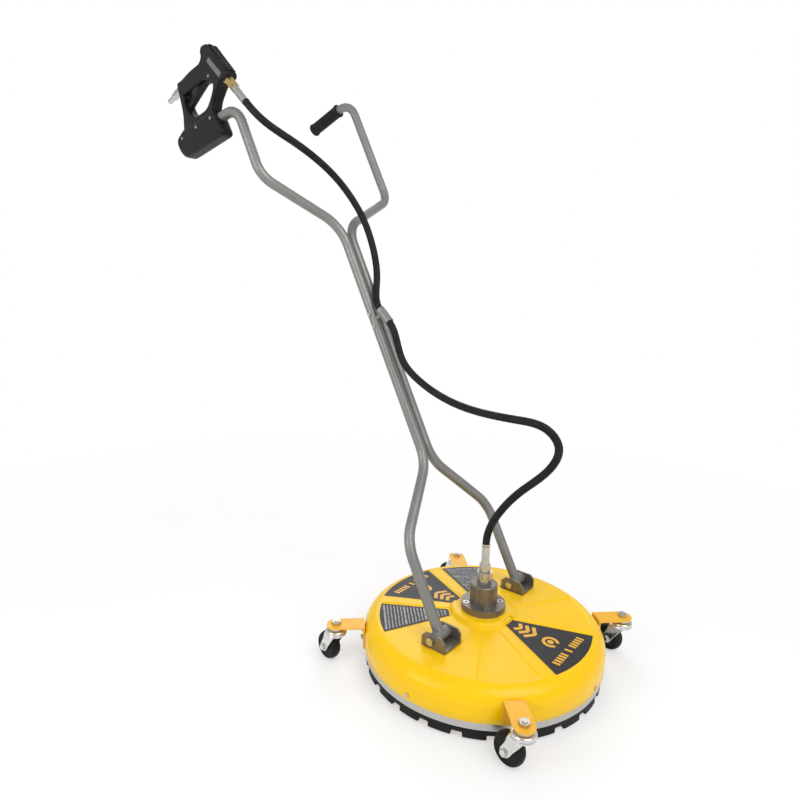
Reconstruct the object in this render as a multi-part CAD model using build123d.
from build123d import *
import math
import os

# Rotary surface cleaner: a round deck on four casters, a spinning spray bar under it, a tilting
# two-tube handle, and a trigger gun that feeds a swivel through one hose.
# Axes: +X to the operator's right, +Y the way the machine is pushed, +Z up.  Millimetres, degrees.
# Every part is drawn about the spray bar's axis, with the floor at z 0, and keep() moves each one
# so that the origin is the middle of the machine's footprint.

# Driving dimensions -------------------------------------------------------------------------
FOOTPRINT_MIDDLE = (0.0, -290.3)   # from the spray bar's axis

DECK_R = 257.0            # outside of the deck wall
WALL_T = 4.0
WALL_BOTTOM = 40.0
SHOULDER_Z = 69.0         # centre height of the round shoulder
SHOULDER_R = 36.0
TOP_T = 5.0
CONE_OUT = (221.0, 105.0)  # radius and height where the shallow cone meets the shoulder
CONE_IN = (72.0, 112.0)    # and where it meets the raised centre
PLATEAU = (66.0, 121.0)
RECESS = 2.0              # depth of the sunken panels
# Sunken panels: tip radius, half width there, growth of the half width per mm, outer radius
MAIN_PANEL = (61.0, 15.5, 0.48, 233.0)
SIDE_PANEL = (70.0, 15.6, 0.30, 228.0)
MAIN_ANGLES = (90, 270)
SIDE_ANGLES = (45, 135, 225, 315)
LABELLED_SIDES = (225, 315)
LABEL_T = 0.3
LABEL_INSET = 4.0         # border of bare paint round a label

RING_R = 254.0            # stainless trim band
RING_BOTTOM = 25.0
RING_IN = 248.0
RING_TOP = 60.0           # top of the band behind the deck wall
RING_SCREW_Z = 51.0
RING_SCREW_R = 2.0
RING_SCREW_ANGLES = (0, 90, 180, 270)
SKIRT_IN = 243.0
SKIRT_OUT = 251.0
SKIRT_TOP = 46.0
SKIRT_BOTTOM = 3.0
SKIRT_TABS = 24
TAB_GAP = 21.5
TAB_TOP = 12.0

CASTER_R = 317.0          # stem circle
CASTER_PLATE_Z = 87.0     # underside of the caster bracket plate
PLATE_TOP = CASTER_PLATE_Z + 3.0
TIP_R = 20.0              # round end of the plate
LEG_IN = DECK_R + 0.1     # the bracket's leg lies against the deck wall
LEG_T = 3.0
LEG_BOTTOM = 42.0
LEG_HALF = 20.0
LEG_BOLT_HEIGHTS = (58, 78)
LEG_BOLT_R = 3.0
CASTER_TRAIL = 26.0
CASTER_HEADING = -98.0    # where the wheels trail at rest
WHEEL_R = 30.0
WHEEL_W = 24.0
STEM_R = 5.0
FORK_IN = 14.0            # half the room between the fork's legs
FORK_T = 2.5
AXLE_R = 4.0
CUP_R = 22.5

PIVOT_X = 152.0
PIVOT_Y = -5.0
PIVOT_Z = 123.0
BRACKET_SEAT = 106.5
BRACKET_HALF = 28.0
BRACKET_HEIGHT = 29.5
BRACKET_CUT = 9.0         # cut-off upper corners
BRACKET_T = 4.0
PIVOT_BOLT_R = 5.0
BARREL_R = 12.0           # cross tube at the foot of each handle tube
BARREL_HALF = 23.5

HANDLE_LEAN = 27.7        # from vertical, towards the operator
TUBE_R = 11.1
TUBE_T = 1.6
WAIST_X = 11.35           # half the spacing of the two tubes where they run side by side
TOP_X = 205.0
LEG_TOP = 191.0           # distances along the handle from the pivot
WAIST_BOTTOM = 333.0
WAIST_TOP = 923.0
SHOULDER_TOP = 1023.0
GUN_CORNER = 1193.0
GRIP_CORNER = 1330.0
GUN_DROP = 10.0           # slope of the tube end below horizontal, gun side
GRIP_DROP = 20.0          # and grip side
BEND_RADII = (90, 90, 80, 50, 50)
# Side, height of the last corner, slope and length of each tube's backward end
TUBE_END = {"right": (1, GUN_CORNER, GUN_DROP, 190.0), "left": (-1, GRIP_CORNER, GRIP_DROP, 150.0)}
LINK_UPS = (662.0, 693.0)  # bolts that hold the two tubes together
LINK_R = 2.5

CLIP_UP = 675.0           # hose clip, up the handle and in front of it
CLIP_FRONT = 33.0
CLIP_X = WAIST_X
CLIP_TILT = 19.0          # the sleeve leans forward of the tube at its lower end
CLIP_HALF = 20.0
CLIP_R = 10.6

FLANGE_R = 47.5           # swivel
FLANGE_TOP = 135.0
FLANGE_PCD = 75.2
SCREW_ANGLES = (45, 135, 225, 315)
BOSS_R = 27.0             # swivel housing where it passes the deck
BOSS_BOTTOM = 102.0
BODY_R = 29.2
BODY_TOP = 178.0
CAP_BOTTOM = 170.0
CAP_R = 25.0
PLATE_T = 4.0             # clamp plate under the deck
PLATE_R = 58.0
SHAFT_R = 10.0
BEARING_R = 21.0
LOWER_BEARING = (106.0, 118.0)
UPPER_BEARING = (140.0, 152.0)
SEAL = (153.0, 160.0)
RUNNING = 0.05            # radial running clearance
FERRULE_TOP = 268.0
FERRULE_FLOOR = 236.0     # the hose ends here, inside the ferrule

SPRAY_Z = 58.0            # spray bar
SPRAY_R = 213.0
SPRAY_ANGLE = 35.0
ARM_R = 7.0
ARM_BORE = 4.5
HUB_R = 22.0
NECK_R = 8.0              # threaded end of the shaft under the hub

GUN_X = TOP_X             # trigger gun, outlines as (y, z)
GUN_HALF = 15.0
BASE_HALF = 19.0
GUN_EDGE = 5.0            # corner radius of the mouldings
BASE_EDGE = 6.0
GUN_OUTLINE = [(-640, 1160), (-636, 1191), (-631, 1206), (-611, 1230), (-597, 1240), (-580, 1240),
               (-573, 1251), (-593, 1274), (-621, 1298), (-650, 1325), (-672, 1325), (-679, 1314),
               (-674, 1302), (-682, 1291), (-725, 1282), (-752, 1273), (-765, 1269), (-779, 1268),
               (-779, 1254), (-771, 1236), (-764, 1214), (-758, 1193), (-757, 1170), (-758, 1145)]
GUN_OPENING = [(-637, 1243), (-629, 1236), (-633, 1222), (-643, 1206), (-655, 1192), (-672, 1186),
               (-707, 1180), (-728, 1190), (-742, 1205), (-750, 1220), (-755, 1236), (-722, 1242),
               (-689, 1250), (-667, 1253)]
BASE_OUTLINE = [(-625, 1183), (-640, 1183), (-752, 1164), (-784, 1144), (-786, 1128), (-771, 1107),
                (-754, 1096), (-738, 1098), (-600, 1126), (-597, 1136)]
GUN_SCREWS = [(-636, 1165.8), (-695, 1155.4), (-756, 1139)]
GUN_SCREW_R = 1.9
TRIGGER_PIVOT = (-645.0, 1256.0)
TRIGGER_OUTLINE = [(-655, 1246), (-668, 1250), (-705, 1228), (-738, 1207), (-746, 1196), (-752, 1198),
                   (-749, 1210), (-735, 1222), (-704, 1243), (-682, 1260.5), (-664, 1256.4),
                   (-652, 1265), (-640, 1263), (-637, 1251)]
TRIGGER_HALF = 6.0
TRIGGER_TRAVEL = 10
TRIGGER_PIN_R = 3.0
TRIGGER_PIN_HALF = 15.2
INLET_FOOT = (-777.0, 1257.0)
INLET_TIP = (-838.0, 1239.0)
VALVE_TOP = (-650.0, 1300.0)
VALVE_FOOT = (-592.0, 1245.0)
VALVE_R = 12.0
OUTLET_END = (-527.0, 1185.0)
PIN_FOOT = (-673.9, 1259.2)
PIN_TOP = (-668.1, 1284.5)
PIN_R = 2.5

HOSE_R = 8.0
HOSE_GRIP = 18.0          # hose held inside the upper ferrule
UPPER_HOSE = [(189, -490, 1146), (137, -459, 1111), (74, -444, 1079), (23, -431, 1042), (-9, -414, 1000),
              (-26, -394, 955), (-31, -375, 909), (-26, -355, 862), (-12, -337, 816)]
LOWER_HOSE = [(17, -229, 640), (13, -184, 599), (13, -102, 565), (21, 71, 551), (11, 126, 540),
              (0, 147, 509), (-4, 126, 454), (4, 80, 407), (3, 33, 351)]

lean = math.radians(HANDLE_LEAN)
UP_HANDLE = Vector(0, -math.sin(lean), math.cos(lean))
FRONT_OF_HANDLE = Vector(0, math.cos(lean), math.sin(lean))
PIVOT = Vector(0, PIVOT_Y, PIVOT_Z)

CORNERS = {"front_right": 45, "front_left": 135, "rear_left": 225, "rear_right": 315}
TO_FOOTPRINT = Pos(-FOOTPRINT_MIDDLE[0], -FOOTPRINT_MIDDLE[1], 0)
PARTS = {}


# Helpers ------------------------------------------------------------------------------------
def keep(name, *shapes):
    """Store one named node in its final place, as one solid or as a group of separate solids."""
    placed = [TO_FOOTPRINT * shape for shape in shapes]
    PARTS[name] = placed[0] if len(placed) == 1 else Compound(children=placed)


def spun(*points):
    """Solid of revolution about Z from (radius, height) points."""
    outline = Polyline(*points, close=True)
    return revolve(Plane.XZ * make_face(outline), Axis.Z)


def tube_z(radius, low, high, x=0.0, y=0.0):
    """Upright round bar between two heights."""
    return Pos(x, y, (low + high) / 2) * Cylinder(radius, high - low)


def rod(start, end, radius):
    """Round bar between two points."""
    start, end = Vector(*start), Vector(*end)
    along = end - start
    middle = Plane(origin=(start + end) * 0.5, z_dir=along)
    return middle * Cylinder(radius, along.length)


def hexagon(start, end, across_flats):
    """Hexagonal bar between two points."""
    start, end = Vector(*start), Vector(*end)
    along = end - start
    face = Plane(origin=start, z_dir=along) * RegularPolygon(across_flats / 2, 6, major_radius=False)
    return extrude(face, amount=along.length, dir=along.normalized())


def spoke(low, high, height, radius):
    """Round bar along +X between two radii, at a height."""
    return rod((low, 0, height), (high, 0, height), radius)


def turned(shape, angle):
    """Shape turned about the spray bar's axis."""
    return Rot(0, 0, angle) * shape


def rounded_path(points, radii):
    """Wire through points, each inner corner eased with its own radius."""
    points = [Vector(*p) for p in points]
    edges = []
    last = points[0]
    for i, radius in enumerate(radii, start=1):
        corner = points[i]
        back = (points[i - 1] - corner).normalized()
        ahead = (points[i + 1] - corner).normalized()
        half = math.radians(back.get_angle(ahead)) / 2
        reach = radius / math.tan(half)
        middle = (back + ahead).normalized() * (radius / math.sin(half) - radius)
        edges.append(Line(last, corner + back * reach))
        edges.append(ThreePointArc(corner + back * reach, corner + middle, corner + ahead * reach))
        last = corner + ahead * reach
    edges.append(Line(last, points[-1]))
    return Wire(edges)


def swept(path, radius):
    """Round bar along a path."""
    start = Plane(origin=path @ 0, z_dir=path % 0)
    return sweep(start * Circle(radius), path=path)


def on_handle(x, up, front=0.0):
    """Point at x, a distance up the handle from the pivot and a distance in front of it."""
    point = PIVOT + UP_HANDLE * up + FRONT_OF_HANDLE * front
    return Vector(x, point.Y, point.Z)


def side_shape(points, low, high):
    """Prism with a (y, z) outline between two x values."""
    face = Plane.YZ * make_face(Polyline(*points, close=True))
    return Pos(low, 0, 0) * extrude(face, amount=high - low)


# Deck ---------------------------------------------------------------------------------------
def shoulder_arc(centre_r, radius, start, end):
    """Quarter round of the deck's shoulder, between two (radius, height) points."""
    slant = radius * math.sqrt(0.5)
    return ThreePointArc(start, (centre_r + slant, SHOULDER_Z + slant), end)


def deck_shell():
    """Pressed cover: wall, round shoulder, shallow cone and raised centre."""
    centre_r = CONE_OUT[0]
    inner_r = SHOULDER_R - WALL_T
    wall_in = DECK_R - WALL_T
    hole_r = BOSS_R + 0.5
    inside_top = (centre_r - 1, SHOULDER_Z + inner_r)
    top_and_hole = [CONE_OUT, CONE_IN, PLATEAU, (hole_r, PLATEAU[1]), (hole_r, PLATEAU[1] - TOP_T),
                    (PLATEAU[0] - 3, PLATEAU[1] - TOP_T), (CONE_IN[0] - 3, CONE_IN[1] - TOP_T), inside_top]
    outline = [
        Line((DECK_R, WALL_BOTTOM), (DECK_R, SHOULDER_Z)),
        shoulder_arc(centre_r, SHOULDER_R, (DECK_R, SHOULDER_Z), CONE_OUT),
        Polyline(*top_and_hole),
        shoulder_arc(centre_r, inner_r, inside_top, (wall_in, SHOULDER_Z)),
        Polyline((wall_in, SHOULDER_Z), (wall_in, WALL_BOTTOM), (DECK_R, WALL_BOTTOM)),
    ]
    edges = [edge for piece in outline for edge in piece.edges()]
    return revolve(Plane.XZ * make_face(edges), Axis.Z)


def cone_layer(low, high):
    """Thin layer that follows the deck's cone between two offsets from its surface."""
    (r_out, z_out), (r_in, z_in) = CONE_OUT, CONE_IN
    slope = (z_in - z_out) / (r_out - r_in)
    far, near = 240.0, 50.0
    z_far, z_near = z_out - slope * (far - r_out), z_in + slope * (r_in - near)
    return spun((near, z_near + low), (far, z_far + low), (far, z_far + high), (near, z_near + high))


def wedge(inner, half_inner, spread, outer, inset=0.0):
    """Upright wedge along +X, with straight sides and a round outer end."""
    tip = inner + inset
    half_tip = half_inner + spread * inset - inset * math.hypot(1, spread)
    reach = outer + 20
    half_reach = half_tip + spread * (reach - tip)
    outline = [(tip, -half_tip), (reach, -half_reach), (reach, half_reach), (tip, half_tip)]
    prism = Pos(0, 0, SHOULDER_Z) * extrude(make_face(Polyline(*outline, close=True)), amount=80)
    return prism & tube_z(outer - inset, WALL_BOTTOM, 2 * SHOULDER_Z)


def label(panel, angle):
    """Thin film that covers a sunken panel but for a border."""
    return turned(cone_layer(-RECESS, LABEL_T - RECESS) & wedge(*panel, LABEL_INSET), angle)


def make_deck():
    shell = deck_shell()
    for panel, angles in ((MAIN_PANEL, MAIN_ANGLES), (SIDE_PANEL, SIDE_ANGLES)):
        for angle in angles:
            shell -= turned(cone_layer(-RECESS, PLATEAU[1] - CONE_IN[1]) & wedge(*panel), angle)
    pocket = 2 * BRACKET_HALF + 2
    for side in (1, -1):
        shell -= Pos(side * PIVOT_X, 0, BRACKET_SEAT + 10) * Box(pocket, pocket, 20)
    for angle in SCREW_ANGLES:
        shell -= turned(tube_z(4.2, BOSS_BOTTOM, FLANGE_TOP, FLANGE_PCD / 2), angle)
    for angle in CORNERS.values():
        for height in LEG_BOLT_HEIGHTS:
            shell -= turned(bracket_bolt_bore(height), angle)
    for angle in RING_SCREW_ANGLES:
        shell -= turned(spoke(SKIRT_IN, DECK_R + 3, RING_SCREW_Z, RING_SCREW_R + 0.1), angle)
    keep("deck_cover", shell)
    labels = [label(MAIN_PANEL, angle) for angle in MAIN_ANGLES]
    labels += [label(SIDE_PANEL, angle) for angle in LABELLED_SIDES]
    keep("deck_labels", *labels)


def make_ring_and_skirt():
    inner = DECK_R - WALL_T - 0.1
    ledge = WALL_BOTTOM - 0.5
    ring = spun((RING_IN, RING_BOTTOM), (RING_R, RING_BOTTOM), (RING_R, ledge), (inner, ledge),
                (inner, RING_TOP), (RING_IN, RING_TOP))
    screw = spoke(RING_IN - 3.5, DECK_R, RING_SCREW_Z, RING_SCREW_R)
    screw += spoke(DECK_R, DECK_R + 2.2, RING_SCREW_Z, 2 * RING_SCREW_R)
    for angle in RING_SCREW_ANGLES:
        ring -= turned(spoke(SKIRT_IN, DECK_R + 3, RING_SCREW_Z, RING_SCREW_R), angle)
    for angle in CORNERS.values():
        for height in LEG_BOLT_HEIGHTS:
            ring -= turned(bracket_bolt_bore(height), angle)
    keep("trim_ring", ring)
    keep("ring_screws", *[turned(screw, angle) for angle in RING_SCREW_ANGLES])
    upper_out = RING_IN - 0.1
    foot_top = RING_BOTTOM - 0.2
    skirt = spun((SKIRT_IN, SKIRT_BOTTOM), (SKIRT_OUT, SKIRT_BOTTOM), (SKIRT_OUT, foot_top),
                 (upper_out, foot_top), (upper_out, SKIRT_TOP), (SKIRT_IN, SKIRT_TOP))
    gap = Pos((SKIRT_IN + SKIRT_OUT) / 2, 0, TAB_TOP / 2) * Box(20, TAB_GAP, TAB_TOP)
    for i in range(SKIRT_TABS):
        skirt -= turned(gap, (i + 0.5) * 360 / SKIRT_TABS)
    keep("brush_skirt", skirt)


# Caster brackets and casters ----------------------------------------------------------------
def bracket_bolt_bore(height):
    return spoke(SKIRT_IN, LEG_IN + 10, height, LEG_BOLT_R + 0.1)


def caster_bracket():
    """Flat plate that carries the caster's stem, and a leg curved to the deck wall."""
    root = LEG_IN - 8
    reach = (CASTER_R - root) / 2
    plate = tube_z(TIP_R, CASTER_PLATE_Z, PLATE_TOP, CASTER_R)
    plate += Pos(root + reach, 0, (CASTER_PLATE_Z + PLATE_TOP) / 2) * Box(
        2 * reach, 2 * LEG_HALF, PLATE_TOP - CASTER_PLATE_Z)
    deck = tube_z(LEG_IN, 0, 2 * PLATE_TOP)
    sector = Pos(LEG_IN, 0, PLATE_TOP / 2) * Box(60, 2 * LEG_HALF, 2 * PLATE_TOP)
    leg = turned(tube_z(LEG_IN + LEG_T, LEG_BOTTOM, PLATE_TOP) - deck, 180) & sector
    bracket = (plate - turned(deck, 180)) + leg
    bracket -= tube_z(STEM_R + 0.1, CASTER_PLATE_Z - 10, PLATE_TOP + 10, CASTER_R)
    for height in LEG_BOLT_HEIGHTS:
        bracket -= bracket_bolt_bore(height)
    return bracket


def caster_stem():
    """Stem with the button under the fork and the upper washer of the swivel bearing."""
    stem = tube_z(STEM_R, 64.9, PLATE_TOP + 9, CASTER_R) + tube_z(8.5, 60.5, 65, CASTER_R)
    return stem + tube_z(17, 82, CASTER_PLATE_Z, CASTER_R)


def make_caster_brackets():
    bracket = caster_bracket()
    stem = caster_stem()
    nut = hexagon((CASTER_R, 0, PLATE_TOP), (CASTER_R, 0, PLATE_TOP + 7), 17)
    nut -= tube_z(STEM_R, PLATE_TOP - 10, PLATE_TOP + 20, CASTER_R)
    face = LEG_IN + LEG_T
    bolts = []
    for corner, angle in CORNERS.items():
        keep("caster_bracket_" + corner, turned(bracket, angle))
        for height in LEG_BOLT_HEIGHTS:
            bolt = spoke(RING_IN + 0.6, face, height, LEG_BOLT_R)
            bolt += hexagon((face, 0, height), (face + 4, 0, height), 10)
            bolts.append(turned(bolt, angle))
    keep("caster_bracket_bolts", *bolts)
    keep("caster_stems", *[turned(stem, angle) for angle in CORNERS.values()])
    keep("caster_stem_nuts", *[turned(nut, angle) for angle in CORNERS.values()])


# One caster is drawn with its stem at the origin and its wheel trailing along +X.
def caster_fork():
    """Two legs that taper to the axle, joined under the cup of the swivel bearing."""
    leg_face = make_hull((Pos(CASTER_TRAIL, WHEEL_R) * Circle(9.5)).edges()
                         + Line((-13, 68), (20, 68)).edges())
    leg = extrude(Plane.XZ * leg_face, amount=FORK_T)
    outside = FORK_IN + FORK_T
    fork = Pos(0, -FORK_IN, 0) * leg + Pos(0, outside, 0) * leg
    fork += Pos(3.5, 0, 66.5) * Box(33, 2 * outside, 3)
    fork += spun((0, 66), (18, 66), (CUP_R, 70), (CUP_R, 76.5), (19.5, 81.9), (0, 81.9))
    fork -= tube_z(STEM_R + RUNNING, 60, 90)
    return fork - rod((CASTER_TRAIL, -30, WHEEL_R), (CASTER_TRAIL, 30, WHEEL_R), AXLE_R)


def caster_axle():
    outside = FORK_IN + FORK_T
    axle = rod((CASTER_TRAIL, -outside, WHEEL_R), (CASTER_TRAIL, outside, WHEEL_R), AXLE_R)
    for side in (1, -1):
        face = side * outside
        axle += hexagon((CASTER_TRAIL, face, WHEEL_R), (CASTER_TRAIL, face + side * 4, WHEEL_R), 12)
    return axle


def caster_wheel():
    """Solid wheel with a crowned tread and a raised hub on each side."""
    half = WHEEL_W / 2
    crown = WHEEL_R - 3.0
    hub = (half + 1.2, 11)
    bore = AXLE_R + RUNNING
    side = [(half, crown), (half, hub[1] + 1), hub, (hub[0], bore)]
    other = [(-x, radius) for x, radius in reversed(side)]
    tread = ThreePointArc(side[0], (0, WHEEL_R), other[-1])
    section = make_face(Polyline(*side, *other).edges() + tread.edges())
    wheel = Rot(0, 0, 90) * revolve(section, Axis.X)
    return Pos(CASTER_TRAIL, 0, WHEEL_R) * wheel


def make_casters():
    pieces = {"fork": caster_fork(), "axle": caster_axle(), "wheel": caster_wheel()}
    for corner, angle in CORNERS.items():
        spot = turned(Pos(CASTER_R, 0, 0), angle).position
        place = Pos(spot.X, spot.Y, 0) * Rot(0, 0, CASTER_HEADING)
        for kind, piece in pieces.items():
            keep(f"caster_{kind}_{corner}", place * piece)


# Swivel and spray bar -----------------------------------------------------------------------
def ring_between(inner, outer, heights, groove=0.0):
    """Flat ring, with a shallow groove in both faces when asked."""
    low, high = heights
    ring = tube_z(outer, low, high) - tube_z(inner, low - 1, high + 1)
    if groove:
        width = outer - inner
        cut = tube_z(outer - width * 0.25, -groove, groove) - tube_z(inner + width * 0.25, -groove, groove)
        ring -= Pos(0, 0, low) * cut
        ring -= Pos(0, 0, high) * cut
    return ring


def swivel_housing():
    inside_top = BODY_TOP + 1
    housing = tube_z(BOSS_R, BOSS_BOTTOM, PLATEAU[1] + 1) + tube_z(FLANGE_R, PLATEAU[1], FLANGE_TOP)
    housing += tube_z(BODY_R, FLANGE_TOP - 1, BODY_TOP)
    housing = chamfer(housing.edges().filter_by(GeomType.CIRCLE).sort_by(Axis.Z)[-1], 1.5)
    housing -= tube_z(SHAFT_R + 4, BOSS_BOTTOM - 1, inside_top)
    housing -= tube_z(BEARING_R, BOSS_BOTTOM - 1, LOWER_BEARING[1])
    housing -= tube_z(BEARING_R, UPPER_BEARING[0], CAP_BOTTOM)
    return housing - tube_z(CAP_R, CAP_BOTTOM, inside_top)


def make_swivel():
    housing = swivel_housing()
    x = FLANGE_PCD / 2
    seat = FLANGE_TOP - 8
    hole = tube_z(4.1, BOSS_BOTTOM, FLANGE_TOP + 1, x) + tube_z(6.6, seat, FLANGE_TOP + 1, x)
    screw = tube_z(4.0, 108, seat + 0.1, x) + tube_z(6.5, seat, FLANGE_TOP - 0.3, x)
    screw -= hexagon((x, 0, FLANGE_TOP - 4.5), (x, 0, FLANGE_TOP + 1), 6)
    plate_top = PLATEAU[1] - TOP_T
    plate = ring_between(BOSS_R + 0.2, PLATE_R, (plate_top - PLATE_T, plate_top))
    for angle in SCREW_ANGLES:
        housing -= turned(hole, angle)
        plate -= turned(tube_z(4.0, BOSS_BOTTOM, FLANGE_TOP, x), angle)
    keep("swivel_housing", housing)
    keep("flange_screws", *[turned(screw, angle) for angle in SCREW_ANGLES])
    keep("clamp_plate", plate)
    keep("lower_bearing", ring_between(SHAFT_R + RUNNING, BEARING_R, LOWER_BEARING, 0.6))
    keep("upper_bearing", ring_between(SHAFT_R + RUNNING, BEARING_R, UPPER_BEARING, 0.6))
    keep("shaft_seal", ring_between(SHAFT_R + 0.1, BEARING_R, SEAL))
    make_hose_connection()


def make_hose_connection():
    """Cap, fitting, nut and ferrule that bring the water into the top of the swivel."""
    cap_top = BODY_TOP + 0.4
    collar_top = 205
    nut_top = 223
    ferrule_foot = 230
    keep("housing_cap", tube_z(CAP_R - 0.1, CAP_BOTTOM + 0.5, cap_top) - tube_z(6, 160, 190))
    fitting = hexagon((0, 0, cap_top), (0, 0, 192), 26) + tube_z(16, 191.9, collar_top)
    fitting += tube_z(6, CAP_BOTTOM + 2, 180)
    keep("inlet_fitting", fitting - tube_z(4, 160, 204) - tube_z(6, collar_top - 5, collar_top + 1))
    nut = hexagon((0, 0, collar_top), (0, 0, nut_top), 21) + tube_z(9, nut_top - 1, ferrule_foot)
    nut += tube_z(5.9, collar_top - 4, collar_top + 1)
    keep("hose_nut", nut - tube_z(3.5, 200, ferrule_foot + 1))
    lip = FERRULE_TOP - 3
    keep("lower_ferrule", spun((3.5, ferrule_foot), (8.6, ferrule_foot), (8.6, lip - 3), (9.4, lip),
                               (9.4, FERRULE_TOP), (HOSE_R, FERRULE_TOP), (HOSE_R, FERRULE_FLOOR),
                               (3.5, FERRULE_FLOOR)))


def spray_end(end):
    """Arm, nozzle holder and nozzle at one end of the bar, drawn along X."""
    x = end * SPRAY_R
    arm_start = end * 13
    arm_end = x - end * 6
    arm = spoke(arm_start, arm_end, SPRAY_Z, ARM_R) - spoke(end * 5, x, SPRAY_Z, ARM_BORE)
    holder = tube_z(11, 44, 69, x) - spoke(arm_start, arm_end, SPRAY_Z, ARM_R)
    holder -= tube_z(4, 40, SPRAY_Z, x)
    nozzle = hexagon((x, 0, 37), (x, 0, 44), 14) + tube_z(4, 43, 54, x) + tube_z(5, 31, 38, x)
    return arm, holder, nozzle - tube_z(1, 30, 55, x)


def make_spray_bar():
    shaft = tube_z(SHAFT_R, 47, 165) + tube_z(NECK_R, 36, 48)
    hub = tube_z(HUB_R, 46, 70) - tube_z(SHAFT_R, 40, 80)
    ends = [spray_end(end) for end in (1, -1)]
    for end in (1, -1):
        hub -= turned(spoke(end * 13, end * 30, SPRAY_Z, ARM_R), SPRAY_ANGLE)
    keep("rotor_shaft", shaft - tube_z(3, SPRAY_Z, 166))
    keep("spray_hub", hub)
    for name, pieces in zip(("spray_arms", "nozzle_holders", "spray_nozzles"), zip(*ends)):
        keep(name, *[turned(piece, SPRAY_ANGLE) for piece in pieces])
    keep("hub_nut", hexagon((0, 0, 38), (0, 0, 46), 24) - tube_z(NECK_R, 30, 50))


# Handle -------------------------------------------------------------------------------------
def across_pivot(low, high, radius):
    """Round bar along the handle's tilt axis."""
    return rod((low, PIVOT_Y, PIVOT_Z), (high, PIVOT_Y, PIVOT_Z), radius)


def handle_bracket():
    """U bracket: a base plate and two cheeks with cut corners, drawn about x 0."""
    half = BRACKET_HALF
    top = BRACKET_SEAT + BRACKET_HEIGHT
    cut = BRACKET_CUT
    cheek = side_shape([(-half, BRACKET_SEAT), (half, BRACKET_SEAT), (half, top - cut), (half - cut, top),
                        (-half + cut, top), (-half, top - cut)], 0, BRACKET_T)
    bracket = Pos(half - BRACKET_T, 0, 0) * cheek + Pos(-half, 0, 0) * cheek
    bracket += Pos(0, 0, BRACKET_SEAT + BRACKET_T / 2) * Box(2 * half, 2 * half, BRACKET_T)
    return bracket - across_pivot(-40, 40, PIVOT_BOLT_R)


def make_handle_brackets():
    half = BRACKET_HALF
    hardware = []
    for side, name in ((1, "right"), (-1, "left")):
        x = side * PIVOT_X
        keep("handle_bracket_" + name, Pos(x, 0, 0) * handle_bracket())
        bolt = across_pivot(x - half - 9, x + half, PIVOT_BOLT_R)
        bolt += hexagon((x + half, PIVOT_Y, PIVOT_Z), (x + half + 6, PIVOT_Y, PIVOT_Z), 15)
        nut = hexagon((x - half, PIVOT_Y, PIVOT_Z), (x - half - 7, PIVOT_Y, PIVOT_Z), 15)
        hardware += [bolt, nut - across_pivot(x - half - 20, x, PIVOT_BOLT_R)]
    keep("pivot_bolts", *hardware)


def tube_end(side, corner, drop, reach):
    """Point on a tube's backward end, past its top corner."""
    slope = math.radians(drop)
    return on_handle(side * TOP_X, corner) + Vector(0, -math.cos(slope), -math.sin(slope)) * reach


def tube_path(name):
    """Centre line of one handle tube, from the pivot to its backward end."""
    side, corner, drop, reach = TUBE_END[name]
    return rounded_path(
        [on_handle(side * PIVOT_X, 4), on_handle(side * PIVOT_X, LEG_TOP),
         on_handle(side * WAIST_X, WAIST_BOTTOM), on_handle(side * WAIST_X, WAIST_TOP),
         on_handle(side * TOP_X, SHOULDER_TOP), on_handle(side * TOP_X, corner),
         tube_end(side, corner, drop, reach)], BEND_RADII)


def make_handle_tubes():
    for name, (side, *_) in TUBE_END.items():
        path = tube_path(name)
        x = side * PIVOT_X
        tube = swept(path, TUBE_R) - swept(path, TUBE_R - TUBE_T)
        tube += across_pivot(x - BARREL_HALF, x + BARREL_HALF, BARREL_R)
        tube -= across_pivot(x - 30, x + 30, PIVOT_BOLT_R + RUNNING)
        for up in LINK_UPS:
            tube -= rod(on_handle(-40, up), on_handle(40, up), LINK_R)
        for spot in GUN_SCREWS:
            tube -= rod(gun_point(spot, -30), gun_point(spot, 30), GUN_SCREW_R)
        keep("handle_tube_" + name, tube)
    edge = WAIST_X + TUBE_R
    links = []
    for up in LINK_UPS:
        bolt = rod(on_handle(-edge, up), on_handle(edge, up), LINK_R)
        for side in (1, -1):
            bolt += rod(on_handle(side * edge, up), on_handle(side * (edge + 2.5), up), 4.5)
        links.append(bolt)
    keep("link_bolts", *links)


def make_left_grip():
    """Rubber grip with a flare at each end, closed over the end of the tube."""
    side, corner, drop, reach = TUBE_END["left"]
    first, last = 46, reach + 6

    def along(distance):
        return tube_end(side, corner, drop, distance)

    grip = rod(along(first), along(last), 15.5)
    grip += rod(along(first), along(first + 6), 17.5)
    grip += rod(along(last - 6), along(last), 17.5)
    keep("left_grip", grip - rod(along(first - 16), along(reach), TUBE_R))


def clip_direction():
    """Direction of the hose as it leaves the clip downwards."""
    return (UP_HANDLE * -1).rotate(Axis.X, CLIP_TILT)


def make_hose_clip():
    """Sleeve round the hose on a short foot that stands on the right-hand tube."""
    middle = on_handle(CLIP_X, CLIP_UP, CLIP_FRONT)
    along = clip_direction() * CLIP_HALF
    foot_up = CLIP_UP + 6
    foot = rod(on_handle(CLIP_X, foot_up, 9), on_handle(CLIP_X, foot_up, CLIP_FRONT - 4), 6)
    for x in (WAIST_X, -WAIST_X):
        foot -= rod(on_handle(x, CLIP_UP - 50), on_handle(x, CLIP_UP + 60), TUBE_R)
    sleeve = rod(middle - along, middle + along, CLIP_R) + foot
    keep("hose_clip", sleeve - rod(middle - along * 2, middle + along * 2, HOSE_R + 0.1))


# Gun ----------------------------------------------------------------------------------------
def gun_point(pair, offset=0.0):
    return Vector(GUN_X + offset, pair[0], pair[1])


def between(a, b, share):
    return (a[0] + (b[0] - a[0]) * share, a[1] + (b[1] - a[1]) * share)


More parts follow.
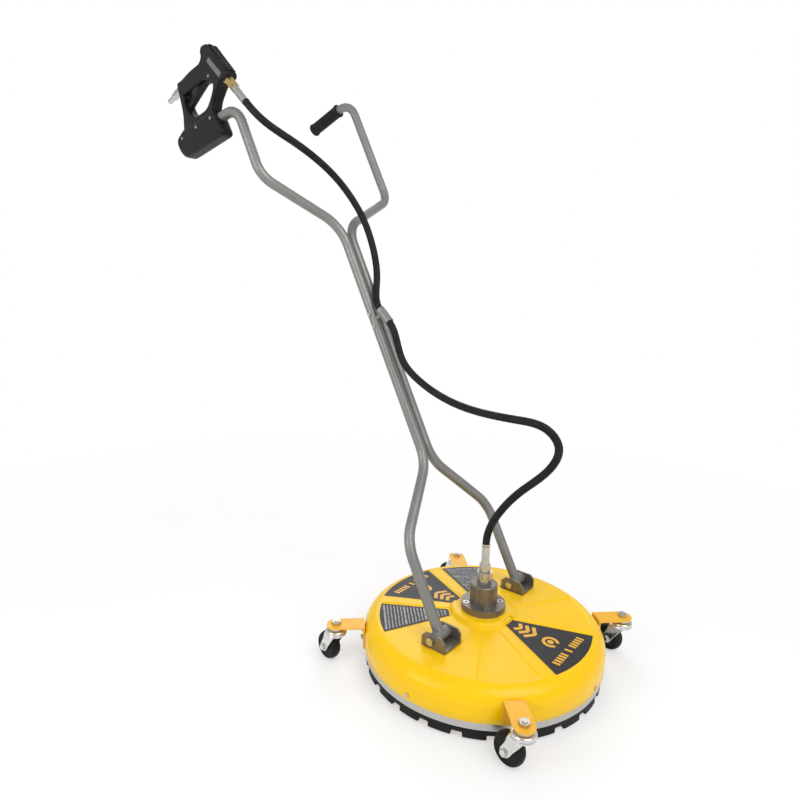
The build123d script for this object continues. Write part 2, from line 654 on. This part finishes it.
def trigger_blank(half, grow=0.0, angle=0.0):
    """The trigger's solid, grown and turned about its pin, for the part and its pocket."""
    face = make_face(Polyline(*TRIGGER_OUTLINE, close=True))
    if grow:
        face = offset(face, amount=grow)
    solid = Pos(GUN_X - half, 0, 0) * extrude(Plane.YZ * face, amount=2 * half)
    pin = Axis(gun_point(TRIGGER_PIVOT), (1, 0, 0))
    return solid.rotate(pin, angle) if angle else solid


def valve_core(grow=0.0):
    """Valve barrel, its bridge to the rear and the pipe that ends at the inlet."""
    bridge_end = (-680, 1278)
    pipe_start = (-676, 1277)
    core = rod(gun_point(VALVE_TOP), gun_point(VALVE_FOOT), VALVE_R + grow)
    core += rod(gun_point(between(VALVE_TOP, VALVE_FOOT, 0.1)), gun_point(bridge_end), 10 + grow)
    return core + rod(gun_point(pipe_start), gun_point(INLET_FOOT), 6.5 + grow)


def outlet_start():
    """Where the outlet nut meets the valve barrel, as (y, z)."""
    return between(VALVE_FOOT, OUTLET_END, 0.1)


def gun_moulding():
    """Outside of both gun halves together, before anything is cut out of it."""
    body = side_shape(GUN_OUTLINE, GUN_X - GUN_HALF, GUN_X + GUN_HALF)
    body = fillet(body.edges().filter_by(Axis.X), GUN_EDGE)
    base = side_shape(BASE_OUTLINE, GUN_X - BASE_HALF, GUN_X + BASE_HALF)
    base = chamfer(base.faces().filter_by(Axis.X).edges(), BASE_EDGE)
    return (body - side_shape(GUN_OPENING, GUN_X - 2 * GUN_HALF, GUN_X + 2 * GUN_HALF)) + base


def make_gun_housing():
    body = gun_moulding()
    for turn in range(TRIGGER_TRAVEL + 1):      # the pocket is what the lever sweeps
        body -= trigger_blank(TRIGGER_HALF + 0.6, 1.2, -turn)
    body -= valve_core(0.1)
    body -= rod(gun_point(PIN_FOOT), gun_point(PIN_TOP), PIN_R + 0.7)
    body -= swept(tube_path("right"), TUBE_R + RUNNING)
    body -= trigger_pin(TRIGGER_PIN_R)
    body -= rod(gun_point(outlet_start()), gun_point(OUTLET_END), VALVE_R)
    body -= rod(gun_point(INLET_FOOT), gun_point(INLET_TIP), 10.0)
    for spot in GUN_SCREWS:
        body -= rod(gun_point(spot, -30), gun_point(spot, 30), GUN_SCREW_R)
    for side, name in ((1, "right"), (-1, "left")):
        half_space = Pos(GUN_X + side * 50, -690, 1200) * Box(100, 400, 400)
        keep("gun_housing_" + name, *(body & half_space).solids())


def make_gun_screws():
    screws = []
    for spot in GUN_SCREWS:
        shank = rod(gun_point(spot, -BASE_HALF + 4), gun_point(spot, BASE_HALF), GUN_SCREW_R)
        screws.append(shank + rod(gun_point(spot, BASE_HALF), gun_point(spot, BASE_HALF + 1.2), 3.4))
    keep("gun_screws", *screws)


def trigger_pin(radius, half=TRIGGER_PIN_HALF):
    return rod(gun_point(TRIGGER_PIVOT, -half), gun_point(TRIGGER_PIVOT, half), radius)


def make_trigger_and_valve():
    keep("trigger_pin", trigger_pin(TRIGGER_PIN_R))
    keep("trigger", trigger_blank(TRIGGER_HALF) - trigger_pin(TRIGGER_PIN_R + RUNNING, 20))
    keep("push_pin", rod(gun_point(PIN_FOOT), gun_point(PIN_TOP), PIN_R))
    bore = rod(gun_point(between(PIN_TOP, PIN_FOOT, 2)), gun_point(between(PIN_FOOT, PIN_TOP, 1.25)),
               PIN_R + 0.1)
    keep("valve_body", valve_core() - bore)


def make_outlet():
    start = outlet_start()
    nut_end = between(start, OUTLET_END, 0.36)
    nut = hexagon(gun_point(start), gun_point(nut_end), 20)
    keep("outlet_nut", nut - rod(gun_point(VALVE_TOP), gun_point(VALVE_FOOT), VALVE_R + 0.1))
    ferrule = rod(gun_point(nut_end), gun_point(OUTLET_END), 8.8)
    floor = between(nut_end, OUTLET_END, 0.3)
    past = between(nut_end, OUTLET_END, 1.2)
    keep("upper_ferrule", ferrule - rod(gun_point(floor), gun_point(past), HOSE_R))


def make_inlet():
    """Hexagon, collar and smooth barrel of the plug that a quick coupler pushes onto."""
    hex_end = between(INLET_FOOT, INLET_TIP, 0.42)
    collar_end = between(INLET_FOOT, INLET_TIP, 0.62)
    inside = between(INLET_FOOT, INLET_TIP, 0.05)
    outside = between(INLET_FOOT, INLET_TIP, 1.1)
    plug = hexagon(gun_point(INLET_FOOT), gun_point(hex_end), 17)
    plug += rod(gun_point(hex_end), gun_point(INLET_TIP), 5.8)
    plug += rod(gun_point(hex_end), gun_point(collar_end), 8)
    plug -= rod(gun_point(inside), gun_point(outside), 3)
    keep("inlet_plug", plug - valve_core(0.02))


# Hoses --------------------------------------------------------------------------------------
def make_hoses():
    middle = on_handle(CLIP_X, CLIP_UP, CLIP_FRONT)
    clip_top = middle - clip_direction() * CLIP_HALF
    clip_low = middle + clip_direction() * CLIP_HALF
    outlet = gun_point(OUTLET_END)
    outlet_dir = (outlet - gun_point(VALVE_FOOT)).normalized()
    held = Line(outlet - outlet_dir * HOSE_GRIP, outlet)
    ends = {"tangent_scalars": (1, 1)}
    upper = Spline(outlet, *UPPER_HOSE, clip_top, tangents=(outlet_dir, clip_direction()), **ends)
    through = Line(clip_top, clip_low)
    keep("upper_hose", swept(Wire([held, upper, through]), HOSE_R))
    ferrule = (0, 0, FERRULE_TOP)
    lower = Spline(clip_low, *LOWER_HOSE, ferrule, tangents=(clip_direction(), (0, 0, -1)), **ends)
    keep("lower_hose", swept(Wire([lower, Line(ferrule, (0, 0, FERRULE_FLOOR))]), HOSE_R))


# Build --------------------------------------------------------------------------------------
make_deck()
make_ring_and_skirt()
make_caster_brackets()
make_casters()
make_swivel()
make_spray_bar()
make_handle_brackets()
make_handle_tubes()
make_left_grip()
make_hose_clip()
make_gun_housing()
make_gun_screws()
make_trigger_and_valve()
make_outlet()
make_inlet()
make_hoses()

os.makedirs("parts", exist_ok=True)
for name, shape in PARTS.items():
    export_step(shape, f"parts/{name}.step")
